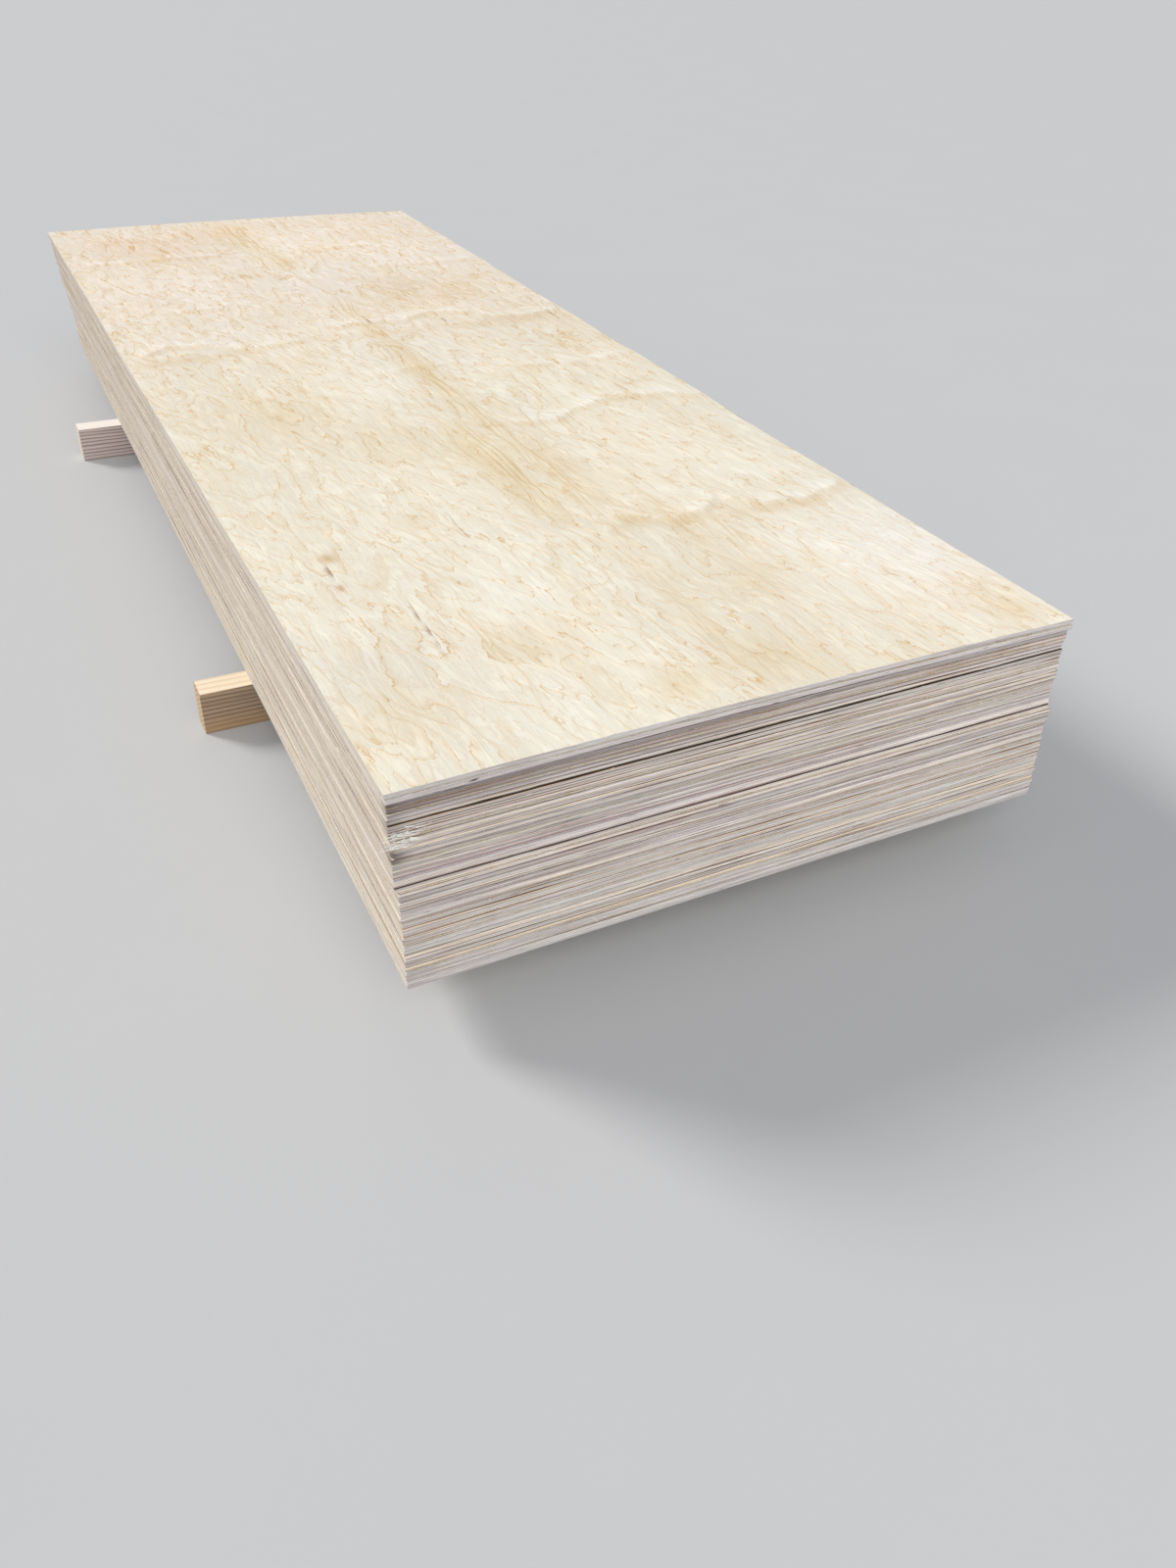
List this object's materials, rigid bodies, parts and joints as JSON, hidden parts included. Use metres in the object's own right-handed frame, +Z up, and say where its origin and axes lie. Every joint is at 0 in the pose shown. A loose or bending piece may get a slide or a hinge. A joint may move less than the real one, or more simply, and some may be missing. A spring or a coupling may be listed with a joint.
{
  "type": "stack of plywood sheets",
  "caption": "Stack of thin birch plywood sheets lying flat on two softwood bearers, with a gap below for forks.",
  "frame": {"origin": "on the floor under the middle of the stack", "axes": "+Y along the sheets, away from the front end; +X across them, to the right; +Z up"},
  "size_m": [1.055, 2.5071, 0.3506],
  "materials": {
    "plywood": "sanded birch veneer with sawn ply edges",
    "bearer": "planed softwood"
  },
  "bodies": {
    "root": {"bearer_front": "bearer", "bearer_back": "bearer", "sheet_01": "plywood", "sheet_02": "plywood", "sheet_03": "plywood", "sheet_04": "plywood", "sheet_05": "plywood", "sheet_06": "plywood", "sheet_07": "plywood", "sheet_08": "plywood", "sheet_09": "plywood", "sheet_10": "plywood", "sheet_11": "plywood", "sheet_12": "plywood", "sheet_13": "plywood", "sheet_14": "plywood", "sheet_15": "plywood", "sheet_16": "plywood", "sheet_17": "plywood", "sheet_18": "plywood", "sheet_19": "plywood", "sheet_20": "plywood", "sheet_21": "plywood", "sheet_22": "plywood", "sheet_23": "plywood", "sheet_24": "plywood", "sheet_25": "plywood", "sheet_26": "plywood", "sheet_27": "plywood", "sheet_28": "plywood", "sheet_29": "plywood", "sheet_30": "plywood", "sheet_31": "plywood", "sheet_32": "plywood", "sheet_33": "plywood", "sheet_34": "plywood", "sheet_35": "plywood", "sheet_36": "plywood", "sheet_37": "plywood", "sheet_38": "plywood", "sheet_39": "plywood", "sheet_40": "plywood", "sheet_41": "plywood", "sheet_42": "plywood"}
  },
  "joints": []
}
